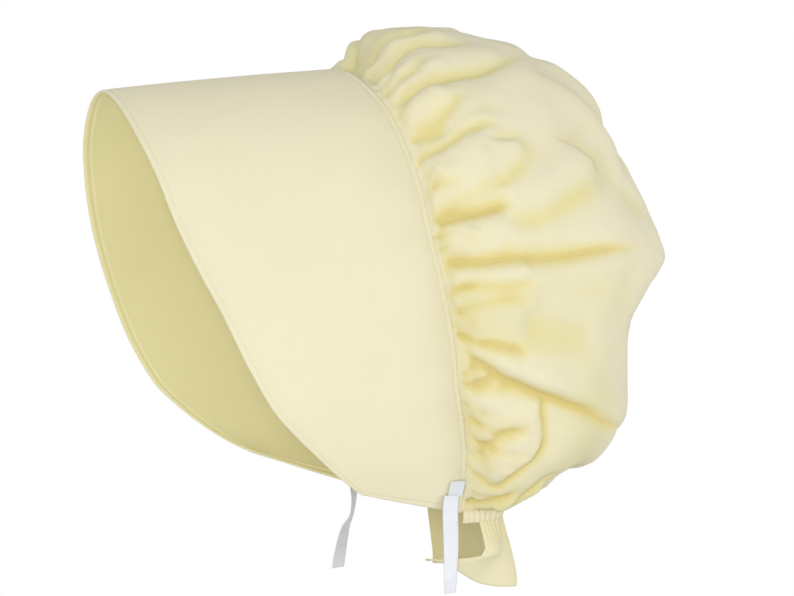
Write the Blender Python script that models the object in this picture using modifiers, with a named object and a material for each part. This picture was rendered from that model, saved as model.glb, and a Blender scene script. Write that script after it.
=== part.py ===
"""Prairie bonnet: a stiff bent brim, a hollow gathered crown, a drawn casing, a neck ruffle and two ribbon ties.

Metres, +Z up, the face opening towards -Y and the wearer's left at +X. The origin is the head seat, on the
inner face of the cloth under the top of the seam between brim and crown.
"""

import math

import bmesh
import bpy
import numpy as np

NAME = "prairie_bonnet"

# Wall thicknesses, and the space kept between pieces that are sewn together
BRIM_WALL = 0.0020
CROWN_WALL = 0.0012
CASING_WALL = 0.0030
RUFFLE_WALL = 0.0012
TIE_WALL = 0.0010
SEWN_GAP = 0.0005

# Front edge of the brim's left half, from the top down to the rounded lower corner
# half width, depth (y), height (z)
FRONT_EDGE = (
    (0.0000, -0.1437, -0.0115),
    (0.0230, -0.1426, -0.0183),
    (0.0448, -0.1394, -0.0360),
    (0.0611, -0.1340, -0.0572),
    (0.0721, -0.1273, -0.0829),
    (0.0820, -0.1180, -0.1085),
    (0.0910, -0.1067, -0.1341),
    (0.0948, -0.0950, -0.1600),
    (0.0948, -0.0800, -0.1855),
    (0.0930, -0.0665, -0.2002),
    (0.0900, -0.0510, -0.2143),
    (0.0855, -0.0365, -0.2262),
    (0.0800, -0.0215, -0.2368),
)
# The right lower corner sits a little higher, as the worn brim does
RIGHT_CORNER_LIFT = 0.0080
RIGHT_LIFT_POWER = 8

# Seam between brim and crown, left half, from the top down to the neckline
# half width, depth (y), height (z)
SEAM = (
    (0.0000, -0.0015, 0.0020),
    (0.0242, -0.0020, -0.0015),
    (0.0418, 0.0012, -0.0095),
    (0.0568, 0.0055, -0.0211),
    (0.0680, 0.0088, -0.0346),
    (0.0771, 0.0119, -0.0502),
    (0.0844, 0.0150, -0.0685),
    (0.0901, 0.0182, -0.0929),
    (0.0938, 0.0228, -0.1172),
    (0.0955, 0.0290, -0.1506),
    (0.0933, 0.0333, -0.1788),
    (0.0892, 0.0384, -0.1984),
    (0.0826, 0.0430, -0.2219),
    (0.0694, 0.0458, -0.2519),
)
BRIM_AXIS = (0.0, 0.0, -0.1500)
BRIM_BULGE = 0.0006

# Drawn neckline, left half, from the end of the seam round to the middle of the nape
# half width, depth (y), height (z)
NECKLINE = (
    (0.0694, 0.0458, -0.2519),
    (0.0668, 0.0600, -0.2515),
    (0.0560, 0.0760, -0.2510),
    (0.0350, 0.0880, -0.2505),
    (0.0000, 0.0940, -0.2505),
)
NECK_END = 1.36
NECK_LIFT = 0.0004
NECK_STEP = 0.02

# The crown as a bag of level sections round its middle, before its folds
# height (z), half width, front (y), back (y)
CROWN_MIDDLE = (0.0, 0.0530, -0.1270)
CROWN_SECTIONS = (
    (0.0272, 0.004, 0.050, 0.064),
    (0.0262, 0.014, 0.034, 0.080),
    (0.0220, 0.026, 0.022, 0.096),
    (0.0170, 0.038, 0.015, 0.112),
    (0.0100, 0.049, 0.011, 0.126),
    (0.0020, 0.061, 0.006, 0.139),
    (-0.0100, 0.074, -0.002, 0.152),
    (-0.0220, 0.085, -0.010, 0.159),
    (-0.0370, 0.094, -0.016, 0.165),
    (-0.0570, 0.102, -0.014, 0.174),
    (-0.0810, 0.109, -0.010, 0.187),
    (-0.1040, 0.112, -0.004, 0.198),
    (-0.1160, 0.113, -0.001, 0.195),
    (-0.1390, 0.113, 0.002, 0.178),
    (-0.1570, 0.112, 0.004, 0.172),
    (-0.1820, 0.110, 0.006, 0.171),
    (-0.2040, 0.106, 0.010, 0.171),
    (-0.2220, 0.098, 0.014, 0.158),
    (-0.2370, 0.088, 0.020, 0.132),
    (-0.2480, 0.074, 0.028, 0.105),
    (-0.2550, 0.058, 0.036, 0.090),
)
CROWN_SQUARENESS = 2.4
CROWN_TIP = (0.0, 0.1450, 0.0230)
CROWN_REACH_LIMIT = 0.30
REACH_STEPS = 24
SHOULDER = 0.16

# Folds of the crown on each side, from the top of the seam down and round to the nape. Each follows three
# stops, a station on the seam and a rise towards the tip. A height below 0 is a crease, above 0 a puff, and
# a lip lifts the cloth above the fold and sinks it below
# station, rise, station, rise, station, rise, height, width below, width above, lip
CROWN_FOLDS = (
    (0.06, 0.02, 0.09, 0.12, 0.05, 0.27, -0.0030, 0.007, 0.006, 0.0000),
    (0.13, 0.01, 0.11, 0.12, 0.12, 0.30, -0.0035, 0.007, 0.006, 0.0000),
    (0.18, 0.01, 0.18, 0.07, 0.17, 0.15, -0.0035, 0.006, 0.006, 0.0000),
    (0.22, 0.01, 0.23, 0.12, 0.15, 0.38, -0.0050, 0.009, 0.007, 0.0010),
    (0.26, 0.02, 0.26, 0.08, 0.24, 0.17, 0.0045, 0.010, 0.009, 0.0000),
    (0.29, 0.01, 0.29, 0.08, 0.26, 0.16, -0.0045, 0.007, 0.007, 0.0000),
    (0.34, 0.01, 0.32, 0.12, 0.29, 0.29, -0.0050, 0.009, 0.009, 0.0000),
    (0.39, 0.02, 0.39, 0.13, 0.35, 0.24, 0.0070, 0.016, 0.015, 0.0000),
    (0.36, 0.26, 0.42, 0.23, 0.44, 0.06, -0.0040, 0.008, 0.008, 0.0000),
    (0.45, 0.01, 0.46, 0.12, 0.46, 0.24, -0.0055, 0.007, 0.007, 0.0010),
    (0.41, 0.26, 0.39, 0.38, 0.32, 0.48, 0.0050, 0.022, 0.020, 0.0000),
    (0.41, 0.53, 0.47, 0.37, 0.48, 0.16, -0.0045, 0.010, 0.010, 0.0000),
    (0.49, 0.02, 0.49, 0.07, 0.49, 0.12, 0.0035, 0.008, 0.008, 0.0000),
    (0.51, 0.14, 0.51, 0.36, 0.51, 0.56, 0.0045, 0.014, 0.014, 0.0000),
    (0.52, 0.01, 0.54, 0.34, 0.56, 0.66, -0.0055, 0.010, 0.008, 0.0020),
    (0.57, 0.01, 0.57, 0.12, 0.57, 0.23, -0.0040, 0.008, 0.007, 0.0000),
    (0.60, 0.01, 0.60, 0.09, 0.60, 0.18, -0.0040, 0.008, 0.007, 0.0000),
    (0.65, 0.01, 0.66, 0.07, 0.67, 0.15, -0.0040, 0.008, 0.007, 0.0000),
    (0.63, 0.14, 0.65, 0.32, 0.68, 0.52, 0.0055, 0.024, 0.024, 0.0000),
    (0.68, 0.01, 0.74, 0.19, 0.92, 0.44, -0.0045, 0.013, 0.015, 0.0060),
    (0.73, 0.01, 0.74, 0.06, 0.75, 0.12, -0.0035, 0.007, 0.007, 0.0000),
    (0.76, 0.01, 0.78, 0.08, 0.82, 0.16, 0.0045, 0.011, 0.010, 0.0000),
    (0.87, 0.02, 0.81, 0.08, 0.79, 0.17, -0.0045, 0.008, 0.008, 0.0000),
    (0.76, 0.21, 0.84, 0.17, 0.94, 0.05, -0.0045, 0.009, 0.009, 0.0020),
    (0.83, 0.34, 0.91, 0.28, 0.98, 0.17, 0.0025, 0.018, 0.018, 0.0000),
    (0.10, 0.38, 0.30, 0.48, 0.50, 0.54, 0.0030, 0.016, 0.016, 0.0000),
    (1.08, 0.01, 1.06, 0.10, 1.04, 0.22, -0.0035, 0.008, 0.008, 0.0000),
    (1.19, 0.01, 1.17, 0.10, 1.14, 0.26, -0.0040, 0.009, 0.009, 0.0000),
    (1.30, 0.01, 1.28, 0.10, 1.24, 0.22, -0.0035, 0.008, 0.008, 0.0000),
)
FOLD_FADE = 0.25

# Casing at the nape
CASING_TOP = -0.2522
CASING_DEPTH = 0.0065
CASING_END = 0.97
CASING_PUCKER = 0.0008
CASING_PUCKERS = 18

# Neck ruffle, hung from the casing
RUFFLE_TOP = -0.2592
RUFFLE_DROP = 0.0420
RUFFLE_FLARE = 0.0115
RUFFLE_WAVE = 0.0035
RUFFLE_WAVES = 4.5
RUFFLE_LEFT_END = 0.86
RUFFLE_RIGHT_END = -0.55
# The left end sweeps forward: share of the way down, forward, drop
RUFFLE_SWEEP_REACH = 0.17
RUFFLE_SWEEP = (
    (0.00, 0.0000, 0.0000),
    (0.20, -0.0010, 0.0085),
    (0.40, -0.0010, 0.0155),
    (0.52, 0.0030, 0.0195),
    (0.65, 0.0120, 0.0200),
    (0.82, 0.0255, 0.0198),
    (1.00, 0.0400, 0.0190),
)

# Ribbon ties, from where they are tacked to the brim's outer face down to their free ends
# x, y, z, turn of the ribbon's width from the front-to-back line in degrees
TIE_WIDTH = 0.0098
LEFT_TIE = (
    (0.0802, 0.0376, -0.2317, -5),
    (0.0755, 0.0378, -0.2420, -5),
    (0.0724, 0.0390, -0.2520, -4),
    (0.0722, 0.0382, -0.2700, -8),
    (0.0722, 0.0374, -0.2948, -30),
)
RIGHT_TIE = (
    (-0.0802, 0.0390, -0.2317, 4),
    (-0.0767, 0.0402, -0.2420, -14),
    (-0.0757, 0.0440, -0.2530, -40),
    (-0.0763, 0.0432, -0.2680, -52),
    (-0.0767, 0.0385, -0.2780, -34),
    (-0.0767, 0.0352, -0.2925, -21),
    (-0.0767, 0.0336, -0.3020, -19),
)

# Colours as red, green and blue, and roughness
COTTON = (0.84, 0.81, 0.58)
SATIN = (0.82, 0.84, 0.88)
COTTON_ROUGHNESS = 0.85
SATIN_ROUGHNESS = 0.35

# Facets along and across each piece
BRIM_FACETS = (44, 7)
CROWN_FACETS = (96, 20)
CASING_FACETS = (54, 1)
RUFFLE_FACETS = (52, 6)
TIE_FACETS = (12, 2)
CROWN_CROWDING = 1.35
SPLINE_STEPS = 12
SHARP_ANGLE = math.radians(50)
MERGE_DISTANCE = 1e-6


def unit(vectors):
    return vectors / np.linalg.norm(vectors, axis=-1, keepdims=True)


def smooth_line(points):
    """A dense line through the points, rounded between them."""
    rows = np.asarray(points, float)
    ends = np.vstack([2 * rows[0] - rows[1], rows, 2 * rows[-1] - rows[-2]])
    t = np.linspace(0, 1, SPLINE_STEPS, endpoint=False)[:, None]
    spans = []
    for a, b, c, d in zip(ends[:-3], ends[1:-2], ends[2:-1], ends[3:]):
        bend = (2 * a - 5 * b + 4 * c - d) * t**2 + (3 * b - a - 3 * c + d) * t**3
        spans.append(0.5 * (2 * b + (c - a) * t + bend))
    return np.vstack(spans + [rows[-1:]])


def half_arch(rows):
    """The left half of an arch as a dense line that leaves the middle level."""
    mirrored = np.array(rows[1]) * (-1, 1, 1)
    return smooth_line([mirrored, *rows])[SPLINE_STEPS:]


def at_share(line, share):
    """Points of a line at shares of its length, measured on its first three columns."""
    steps = np.linalg.norm(np.diff(line[:, :3], axis=0), axis=1)
    length = np.concatenate([[0], np.cumsum(steps)])
    wanted = np.clip(share, 0, 1) * length[-1]
    return np.stack([np.interp(wanted, length, column) for column in line.T], axis=-1)


def on_side(points, station):
    """Left-half points put on the side that the station's sign tells."""
    side = np.where(station < 0, -1.0, 1.0)
    return points * np.stack([side, np.ones_like(side), np.ones_like(side)], axis=-1)


SEAM_LINE = half_arch(SEAM)
FRONT_LINE = half_arch(FRONT_EDGE)
NECK_LINE = smooth_line(NECKLINE)
SECTION_LINE = smooth_line(CROWN_SECTIONS)[::-1]


def crown_edge(station):
    """The crown's edge: the seam up to a station of 1, then the neckline up to NECK_END."""
    along = np.abs(station)
    seam = at_share(SEAM_LINE, along) + (0, SEWN_GAP, 0)
    neck = at_share(NECK_LINE, (along - 1) / (NECK_END - 1)) + (0, SEWN_GAP, NECK_LIFT)
    return on_side(np.where((along > 1)[..., None], neck, seam), station)


def in_bag(points):
    """Whether each point is inside the crown's bag."""
    height = points[..., 2]
    half_width, front, back = (np.interp(height, SECTION_LINE[:, 0], SECTION_LINE[:, k]) for k in (1, 2, 3))
    depth = points[..., 1] - CROWN_MIDDLE[1]
    reach = np.where(depth > 0, back - CROWN_MIDDLE[1], CROWN_MIDDLE[1] - front)
    across = np.abs(points[..., 0]) / half_width
    along = np.abs(depth) / np.maximum(reach, SEWN_GAP)
    level = (height > CROWN_SECTIONS[-1][0]) & (height < CROWN_SECTIONS[0][0])
    return level & (across**CROWN_SQUARENESS + along**CROWN_SQUARENESS < 1)


def bag_reach(direction):
    """How far the bag reaches from its middle in each direction."""
    inner = np.zeros(direction.shape[:-1])
    outer = np.full(direction.shape[:-1], CROWN_REACH_LIMIT)
    for _ in range(REACH_STEPS):
        middle = (inner + outer) / 2
        inside = in_bag(np.array(CROWN_MIDDLE) + direction * middle[..., None])
        inner = np.where(inside, middle, inner)
        outer = np.where(inside, outer, middle)
    return (inner + outer) / 2


def turned(start, end, share):
    """Directions turned from start to end by a share of the angle between them."""
    angle = np.arccos(np.clip((start * end).sum(-1), -1, 1))
    low = np.sin((1 - share) * angle)[..., None] * start
    high = np.sin(share * angle)[..., None] * end
    return (low + high) / np.sin(angle)[..., None]


def crown_base(station, rise):
    """The crown without its folds: rise is 0 at its sewn edge and 1 at the tip behind."""
    edge = crown_edge(station) - np.array(CROWN_MIDDLE)
    edge_reach = np.linalg.norm(edge, axis=-1)
    tip = np.broadcast_to(unit(np.array(CROWN_TIP)), edge.shape)
    direction = turned(unit(edge), tip, rise)
    swell = np.sqrt(1 - (1 - np.clip(rise / SHOULDER, 0, 1)) ** 2)
    reach = edge_reach + (bag_reach(direction) - edge_reach) * swell
    return np.array(CROWN_MIDDLE) + direction * reach[..., None], direction


def one_fold(base, stops, side, height, before, after, lip):
    """One fold: a ridge or a valley along a bent line, with its own width on each side and a raised lip."""
    route = smooth_line(np.column_stack([stops, np.zeros(len(stops))]))
    path, out = crown_base(side * route[:, 0], route[:, 1])
    run = unit(np.gradient(path, axis=0))
    nearest = ((base[:, None, :] - path[None, :, :]) ** 2).sum(-1).argmin(1)
    away = base - path[nearest]
    aside = side * (away * np.cross(out[nearest], run[nearest])).sum(-1)
    width = np.where(aside > 0, after, before)
    share = nearest / (len(path) - 1)
    fade = np.clip(np.minimum(share, 1 - share) / FOLD_FADE, 0, 1)
    near = np.exp(-((away**2).sum(-1) / width**2)) * fade
    return near * (height + lip * np.clip(aside / width, -1, 1))


def crown_point(station, rise):
    """The outer face of the crown with its folds, the same folds on both sides."""
    base, direction = crown_base(station, rise)
    relief = np.zeros(len(base))
    for side in (1, -1):
        for fold in CROWN_FOLDS:
            stops = np.array(fold[:6]).reshape(3, 2)
            relief += one_fold(base, stops, side, *fold[6:])
    return base + direction * relief[:, None]


def brim_point(station, share):
    """The brim's outer face: share is 0 at the seam and 1 at the front edge."""
    along = np.abs(station)
    seam = on_side(at_share(SEAM_LINE, along), station)
    front = on_side(at_share(FRONT_LINE, along), station)
    front[..., 2] += np.where(station < 0, RIGHT_CORNER_LIFT, 0) * along**RIGHT_LIFT_POWER
    point = seam + (front - seam) * share[..., None]
    out = unit(point * (1, 0, 1) - np.array(BRIM_AXIS))
    return point + out * (BRIM_BULGE * 4 * share * (1 - share))[..., None]


def neck_point(place):
    """The neckline from the right corner (-1) round the nape (0) to the left (1), and its way out."""
    line = on_side(at_share(NECK_LINE, 1 - np.abs(place)), place)
    after = np.clip(place + NECK_STEP, -1, 1)
    before = np.clip(place - NECK_STEP, -1, 1)
    ahead = on_side(at_share(NECK_LINE, 1 - np.abs(after)), after)
    behind = on_side(at_share(NECK_LINE, 1 - np.abs(before)), before)
    run = unit((ahead - behind) * (1, 1, 0))
    return line, np.cross((0, 0, 1), run)


def casing_point(around, down):
    """The middle of the casing's wall, with its small puckers."""
    line, out = neck_point(CASING_END * (1 - 2 * around))
    pucker = CASING_PUCKER * np.sin(2 * math.pi * CASING_PUCKERS * around)
    line = line + out * pucker[:, None]
    line[:, 2] = CASING_TOP - CASING_DEPTH * down
    return line


def ruffle_point(around, down):
    """The neck ruffle: around runs from its left end to its right end, down from the casing to the hem."""
    line, out = neck_point(RUFFLE_LEFT_END + (RUFFLE_RIGHT_END - RUFFLE_LEFT_END) * around)
    swept = np.array(RUFFLE_SWEEP)
    at_end = np.exp(-((around / RUFFLE_SWEEP_REACH) ** 2))
    forward = at_end * np.interp(down, swept[:, 0], swept[:, 1])
    drop = RUFFLE_DROP * down * (1 - at_end) + at_end * np.interp(down, swept[:, 0], swept[:, 2])
    wave = RUFFLE_WAVE * down * np.sin(2 * math.pi * RUFFLE_WAVES * around)
    point = line + out * (RUFFLE_FLARE * down**2 + wave)[:, None] - np.outer(forward, (0, 1, 0))
    point[:, 2] = RUFFLE_TOP - drop
    return point


def tie_point(rows):
    """The middle layer of a ribbon that follows the rows."""
    line = smooth_line(rows)

    def place(along, across):
        centre = at_share(line, along)
        turn = np.radians(centre[:, 3])
        width = np.column_stack([np.sin(turn), np.cos(turn), np.zeros(len(turn))])
        return centre[:, :3] + width * (TIE_WIDTH * (across - 0.5))[:, None]

    return place


def material(name, colour, roughness):
    made = bpy.data.materials.new(name)
    made.use_nodes = True
    shader = made.node_tree.nodes["Principled BSDF"]
    shader.inputs["Base Color"].default_value = (*colour, 1.0)
    shader.inputs["Roughness"].default_value = roughness
    shader.inputs["Metallic"].default_value = 0.0
    return made


def cloth(name, facets, place, wall, offset, colour, roughness, collection):
    """A piece of cloth: a grid laid out by a function of two shares, given its thickness by Solidify."""
    bm = bmesh.new()
    bmesh.ops.create_grid(bm, x_segments=facets[0], y_segments=facets[1], size=1.0)
    shares = np.array([vert.co[:2] for vert in bm.verts]) / 2 + 0.5
    for vert, point in zip(bm.verts, place(shares[:, 0], shares[:, 1])):
        vert.co = point
    bmesh.ops.remove_doubles(bm, verts=bm.verts, dist=MERGE_DISTANCE)
    mesh = bpy.data.meshes.new(name)
    bm.to_mesh(mesh)
    bm.free()
    mesh.shade_smooth()
    mesh.set_sharp_from_angle(angle=SHARP_ANGLE)
    piece = bpy.data.objects.new(name, mesh)
    collection.objects.link(piece)
    piece.data.materials.append(material(name + "_cloth", colour, roughness))
    solid = piece.modifiers.new("wall", "SOLIDIFY")
    solid.thickness = wall
    solid.offset = offset
    return piece


def crown_grid(around, across):
    return crown_point(NECK_END * (2 * around - 1), across**CROWN_CROWDING)


def brim_grid(around, across):
    return brim_point(1 - 2 * around, across)


def main():
    for old in list(bpy.data.objects):
        bpy.data.objects.remove(old, do_unlink=True)
    parts = bpy.data.collections.new(NAME)
    bpy.context.scene.collection.children.link(parts)
    cotton = (COTTON, COTTON_ROUGHNESS, parts)
    satin = (SATIN, SATIN_ROUGHNESS, parts)
    cloth("brim", BRIM_FACETS, brim_grid, BRIM_WALL, -1.0, *cotton)
    cloth("crown", CROWN_FACETS, crown_grid, CROWN_WALL, -1.0, *cotton)
    cloth("nape_casing", CASING_FACETS, casing_point, CASING_WALL, 0.0, *cotton)
    cloth("neck_ruffle", RUFFLE_FACETS, ruffle_point, RUFFLE_WALL, 0.0, *cotton)
    cloth("tie_left", TIE_FACETS, tie_point(LEFT_TIE), TIE_WALL, 0.0, *satin)
    cloth("tie_right", TIE_FACETS, tie_point(RIGHT_TIE), TIE_WALL, 0.0, *satin)


main()
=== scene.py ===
"""Looks of a prairie bonnet: pale yellow cotton, a gathered crown, topstitching and white satin ribbons.

Metres, +Z up, the face opening towards -Y and the wearer's left at +X.
"""

import math

import bmesh
import bpy
import numpy as np
from mathutils import Matrix, Vector, noise


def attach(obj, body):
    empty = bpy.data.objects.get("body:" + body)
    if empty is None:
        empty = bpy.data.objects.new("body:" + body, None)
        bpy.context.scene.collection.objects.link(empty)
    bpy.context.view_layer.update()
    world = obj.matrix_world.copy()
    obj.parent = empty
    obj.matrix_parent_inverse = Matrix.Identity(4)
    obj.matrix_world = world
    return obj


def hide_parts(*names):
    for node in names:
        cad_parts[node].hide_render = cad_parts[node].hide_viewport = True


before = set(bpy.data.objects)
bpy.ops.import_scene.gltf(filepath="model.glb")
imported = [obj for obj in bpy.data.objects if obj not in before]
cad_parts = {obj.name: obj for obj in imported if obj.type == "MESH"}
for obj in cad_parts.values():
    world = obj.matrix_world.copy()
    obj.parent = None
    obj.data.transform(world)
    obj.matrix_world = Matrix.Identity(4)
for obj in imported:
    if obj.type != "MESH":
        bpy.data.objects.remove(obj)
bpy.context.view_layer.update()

MM = 0.001

# Camera: where it stands, which way it looks, and its lens
CAMERA_PLACE = (1.4482, -0.6372, -0.0483)
CAMERA_AZIMUTH = 65.0
CAMERA_ELEVATION = 3.0
LENS = 123.3
SENSOR = 36.0

# Studio: a floor that ends before the camera's frame, light from all round and a white backdrop, and
# the soft lights as place, width and power in watts, all with one aim
FLOOR_HEIGHT = -0.75
FLOOR_RADIUS = 1.60
FLOOR_COLOUR = (0.78, 0.78, 0.77)
AMBIENT = 0.66
BACKDROP = 1.0
STUDIO_AIM = (0.0, 0.02, -0.12)
STUDIO_LIGHTS = (
    ((1.36, -0.72, 0.00), 0.30, 8.0),
    ((0.95, -1.30, 0.00), 0.60, 1.2),
    ((0.80, 1.10, -0.20), 0.60, 3.2),
)

# Wall thicknesses, and the space kept between pieces that are sewn together
BRIM_WALL = 0.0020
CROWN_WALL = 0.0010
CASING_WALL = 0.0016
RUFFLE_WALL = 0.0011
RIBBON_WALL = 0.0006
SEWN_GAP = 0.0005

# Front edge of the brim's left half, from the top down to the rounded lower corner
# half width, depth (y), height (z)
FRONT_EDGE = (
    (0.0000, -0.1437, -0.0115),
    (0.0230, -0.1426, -0.0183),
    (0.0448, -0.1394, -0.0360),
    (0.0611, -0.1340, -0.0572),
    (0.0721, -0.1273, -0.0829),
    (0.0820, -0.1180, -0.1085),
    (0.0910, -0.1067, -0.1341),
    (0.0948, -0.0950, -0.1600),
    (0.0948, -0.0800, -0.1855),
    (0.0930, -0.0665, -0.2002),
    (0.0900, -0.0510, -0.2143),
    (0.0855, -0.0365, -0.2262),
    (0.0800, -0.0215, -0.2368),
)
# The right lower corner sits a little higher, as the worn brim does
RIGHT_CORNER_LIFT = 0.0080
RIGHT_LIFT_POWER = 8

# Seam between brim and crown, left half, from the top down to the neckline
# half width, depth (y), height (z)
SEAM = (
    (0.0000, -0.0015, 0.0020),
    (0.0242, -0.0020, -0.0015),
    (0.0418, 0.0012, -0.0095),
    (0.0568, 0.0055, -0.0211),
    (0.0680, 0.0088, -0.0346),
    (0.0771, 0.0119, -0.0502),
    (0.0844, 0.0150, -0.0685),
    (0.0901, 0.0182, -0.0929),
    (0.0938, 0.0228, -0.1172),
    (0.0955, 0.0290, -0.1506),
    (0.0933, 0.0333, -0.1788),
    (0.0892, 0.0384, -0.1984),
    (0.0826, 0.0430, -0.2219),
    (0.0694, 0.0458, -0.2519),
)
BRIM_AXIS = (0.0, 0.0, -0.1500)
BRIM_BULGE = 0.0006

# Drawn neckline, left half, from the end of the seam round to the middle of the nape
# half width, depth (y), height (z)
NECKLINE = (
    (0.0694, 0.0458, -0.2519),
    (0.0668, 0.0600, -0.2515),
    (0.0560, 0.0760, -0.2510),
    (0.0350, 0.0880, -0.2505),
    (0.0000, 0.0940, -0.2505),
)
NECK_END = 1.36
NECK_LIFT = 0.0004
NECK_STEP = 0.02

# The crown as a bag of level sections round its middle, before its folds
# height (z), half width, front (y), back (y)
CROWN_MIDDLE = (0.0, 0.0530, -0.1270)
CROWN_SECTIONS = (
    (0.0272, 0.004, 0.050, 0.064),
    (0.0262, 0.014, 0.034, 0.080),
    (0.0220, 0.026, 0.022, 0.096),
    (0.0170, 0.038, 0.015, 0.112),
    (0.0100, 0.049, 0.011, 0.126),
    (0.0020, 0.061, 0.006, 0.139),
    (-0.0100, 0.074, -0.002, 0.152),
    (-0.0220, 0.085, -0.010, 0.159),
    (-0.0370, 0.094, -0.016, 0.165),
    (-0.0570, 0.102, -0.014, 0.174),
    (-0.0810, 0.109, -0.010, 0.187),
    (-0.1040, 0.112, -0.004, 0.198),
    (-0.1160, 0.113, -0.001, 0.195),
    (-0.1390, 0.113, 0.002, 0.178),
    (-0.1570, 0.112, 0.004, 0.172),
    (-0.1820, 0.110, 0.006, 0.171),
    (-0.2040, 0.106, 0.010, 0.171),
    (-0.2220, 0.098, 0.014, 0.158),
    (-0.2370, 0.088, 0.020, 0.132),
    (-0.2480, 0.074, 0.028, 0.105),
    (-0.2550, 0.058, 0.036, 0.090),
)
CROWN_SQUARENESS = 2.4
CROWN_TIP = (0.0, 0.1450, 0.0230)
CROWN_REACH_LIMIT = 0.30
REACH_STEPS = 24
SHOULDER = 0.16

# Creases of the crown, on each side alike: the cloth swells up on both hands of a crease that runs
# through its stops, each a station on the seam and a rise towards the tip in thousandths. The stops were
# measured on the photograph through the camera, and then changed
# stops, left swell, left reach, right swell, right reach, depth, all five in millimetres
STOP_SCALE = 1000
CREASES = (
    (((50, 4), (45, 83), (90, 145), (83, 195), (52, 253)), 2.6, 7, 2.0, 6, 1.2),
    (((112, 8), (115, 103), (117, 128), (135, 200), (117, 297)), 3.2, 8, 2.4, 8, 1.5),
    (((180, 5), (185, 80), (175, 118), (163, 143)), 1.6, 6, 1.6, 6, 1.3),
    (((220, 4), (223, 107), (223, 163), (215, 240), (188, 315), (138, 388)), 3.6, 10, 2.6, 10, 1.5),
    (((237, 3), (235, 30), (229, 75)), 0.8, 3, 1.0, 4, 0.8),
    (((292, 3), (300, 33), (297, 77), (287, 118), (270, 147), (250, 168)), 3.4, 9, 1.4, 8, 1.0),
    (((320, 55), (318, 110), (302, 173), (297, 273)), 1.4, 9, 1.4, 9, 0.3),
    (((340, 3), (338, 22), (343, 77), (335, 138), (328, 190), (330, 235)), 1.4, 5, 2.2, 9, 1.2),
    (
        ((412, 4), (432, 85), (430, 160), (418, 220), (395, 262), (367, 278), (345, 268)),
        3.8, 9, -0.8, 8, 0.3,
    ),
    (((392, 22), (407, 60), (415, 95)), 1.0, 4, 1.0, 4, 0.8),
    (((453, 10), (455, 65), (460, 113), (460, 165), (460, 235)), 3.0, 8, 3.0, 8, 2.0),
    (
        ((478, 158), (490, 245), (485, 302), (468, 365), (450, 438), (422, 497), (395, 497)),
        5.0, 12, -0.8, 12, 0.2,
    ),
    (((495, 70), (505, 98), (495, 125), (483, 125)), 2.0, 5, 0.6, 4, 0.6),
    (((473, 6), (478, 52)), 0.9, 3, 0.9, 3, 0.6),
    (((495, 4), (495, 40)), 0.9, 3, 0.9, 3, 0.6),
    (((520, 5), (532, 88), (535, 158), (547, 310), (550, 475), (565, 677)), 3.6, 10, 3.4, 8, 1.4),
    (((562, 5), (570, 98), (575, 195), (573, 242)), 2.4, 7, 2.0, 7, 1.0),
    (((605, 5), (595, 68), (593, 138), (598, 188), (612, 225)), 1.8, 7, 1.4, 7, 0.8),
    (((645, 4), (650, 30), (655, 83), (667, 138), (685, 185)), 2.4, 7, 2.4, 8, 1.8),
    (
        (
            (682, 3), (688, 50), (708, 95), (725, 143), (750, 208),
            (778, 268), (810, 325), (903, 425), (985, 505),
        ),
        5.4, 9, 0.6, 8, 3.0,
    ),
    (((718, 3), (700, 30), (688, 45)), 1.2, 3, 1.2, 3, 0.9),
    (((723, 30), (715, 60), (708, 88)), 1.2, 3, 1.2, 3, 0.9),
    (((735, 5), (728, 68), (728, 140)), 1.4, 4, 1.4, 4, 0.9),
    (((768, 4), (755, 33)), 1.0, 3, 1.0, 3, 0.6),
    (((870, 22), (833, 40), (810, 72), (795, 113), (795, 158)), 2.4, 6, 2.4, 6, 1.0),
    (
        (
            (752, 210), (770, 195), (800, 190), (830, 180), (855, 155),
            (877, 113), (897, 80), (915, 62), (955, 20),
        ),
        0.5, 6, 4.2, 6, 1.6,
    ),
    (((978, 3), (955, 60), (915, 120)), 2.4, 6, 2.4, 6, 1.4),
    (((1020, 3), (990, 80), (945, 160), (905, 240)), 3.0, 7, 3.0, 7, 1.6),
    (((1080, 3), (1055, 100), (1010, 220)), 3.0, 8, 3.0, 8, 1.4),
    (((1190, 4), (1175, 100), (1150, 230)), 2.6, 9, 2.2, 9, 1.4),
    (((1300, 4), (1285, 110), (1255, 260)), 2.6, 9, 2.4, 9, 1.4),
)

# Soft puffs, and hollows where the height is below 0
# stops, height, width, both in millimetres
PUFFS = (
    (((270, 20), (258, 65), (242, 125)), 2.4, 8),
    (((368, 10), (378, 95), (375, 190)), 4.0, 13),
    (((455, 240), (438, 360), (380, 460)), 3.4, 20),
    (((605, 30), (613, 122), (625, 220)), 3.0, 9),
    (((590, 150), (618, 288), (650, 393), (700, 520)), 2.4, 12),
    (((620, 150), (650, 290), (690, 400)), -1.4, 13),
    (((662, 13), (680, 77), (718, 180), (775, 312)), 2.6, 9),
    (((748, 10), (765, 83), (798, 190)), 3.4, 10),
    (((780, 6), (802, 22), (845, 14), (885, 6)), -2.0, 5),
    (((890, 30), (840, 83), (815, 160)), 2.4, 8),
    (((765, 240), (812, 212), (847, 185), (875, 150), (915, 110)), -2.0, 7),
    (((800, 300), (870, 255), (920, 160)), 2.6, 18),
    (((102, 380), (242, 443), (310, 525), (390, 568), (520, 532)), 2.8, 15),
    (((170, 80), (80, 65), (0, 65), (-80, 65)), -4.4, 13),
    (((0, 290), (35, 335), (70, 370), (110, 400)), -3.8, 11),
    (((80, 440), (125, 505), (155, 560), (190, 600), (230, 640)), 3.0, 13),
    (((1215, 150), (1190, 250), (1165, 330), (1130, 390), (1060, 430), (970, 470), (880, 500)), -4.0, 11),
    (((1180, 2), (1130, 60), (1110, 130), (1095, 210), (1040, 300), (970, 400)), -8.5, 18),
)

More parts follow.
